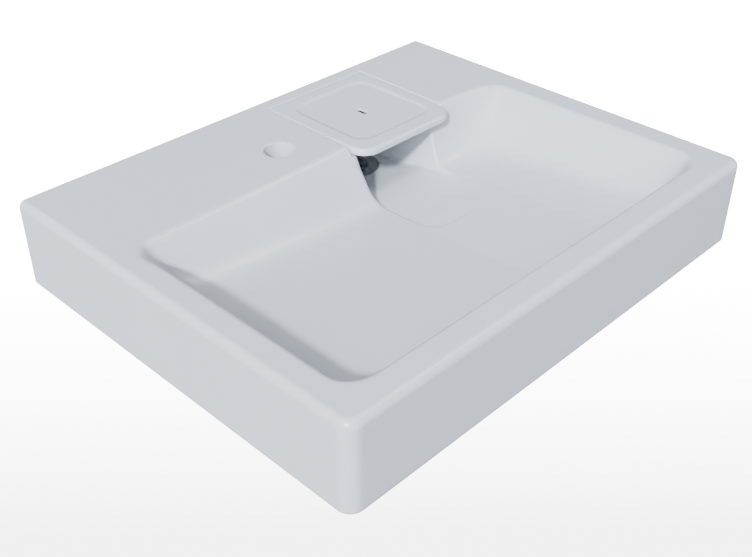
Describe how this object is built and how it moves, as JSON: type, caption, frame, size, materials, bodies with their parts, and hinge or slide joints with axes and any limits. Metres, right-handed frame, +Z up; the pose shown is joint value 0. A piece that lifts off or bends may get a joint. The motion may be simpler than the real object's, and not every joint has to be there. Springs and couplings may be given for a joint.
{
  "type": "washbasin",
  "caption": "Wall-hung rectangular washbasin with a shallow bowl, a lift-off drain cover on the deck, one tap hole, a grid waste, a bottle trap and two steel brackets.",
  "frame": {"origin": "centre of the basin's back face, where it meets the wall", "axes": "+X along the wall to the right as seen from the front, +Y into the wall, +Z up"},
  "size_m": [0.6, 0.51, 0.305],
  "materials": {
    "cast_marble": "satin gel coat",
    "silicone": "matt",
    "stainless_steel": "polished",
    "black_rubber": "matt",
    "white_plastic": "moulded",
    "brass": "turned",
    "powder_coat": "satin powder coat",
    "zinc_steel": "zinc plated"
  },
  "bodies": {
    "basin": {"basin_body": "cast_marble", "strainer_flange": "stainless_steel", "strainer_screw": "stainless_steel", "upper_seal": "black_rubber", "lower_seal": "black_rubber", "waste_body": "white_plastic", "insert_nut": "brass", "union_nut": "white_plastic", "union_seal": "black_rubber", "trap_inlet": "white_plastic", "head_nut": "white_plastic", "head_seal": "black_rubber", "trap_head": "white_plastic", "cup_seal": "black_rubber", "trap_cup": "white_plastic", "outlet_nut": "white_plastic", "outlet_seal": "black_rubber", "outlet_pipe": "white_plastic", "wall_rosette": "white_plastic", "left_bracket": "powder_coat", "right_bracket": "powder_coat", "bracket_strips": "black_rubber", "bracket_inserts": "brass", "bracket_bolts": "zinc_steel", "bracket_washers": "zinc_steel"},
    "cover": {"drain_cover": "cast_marble", "cover_pads": "silicone"}
  },
  "joints": [
    {"name": "cover_lift", "type": "slide", "parent": "basin", "child": "cover", "axis": [0, 0, 1], "range_m": [0, 0.06]}
  ]
}
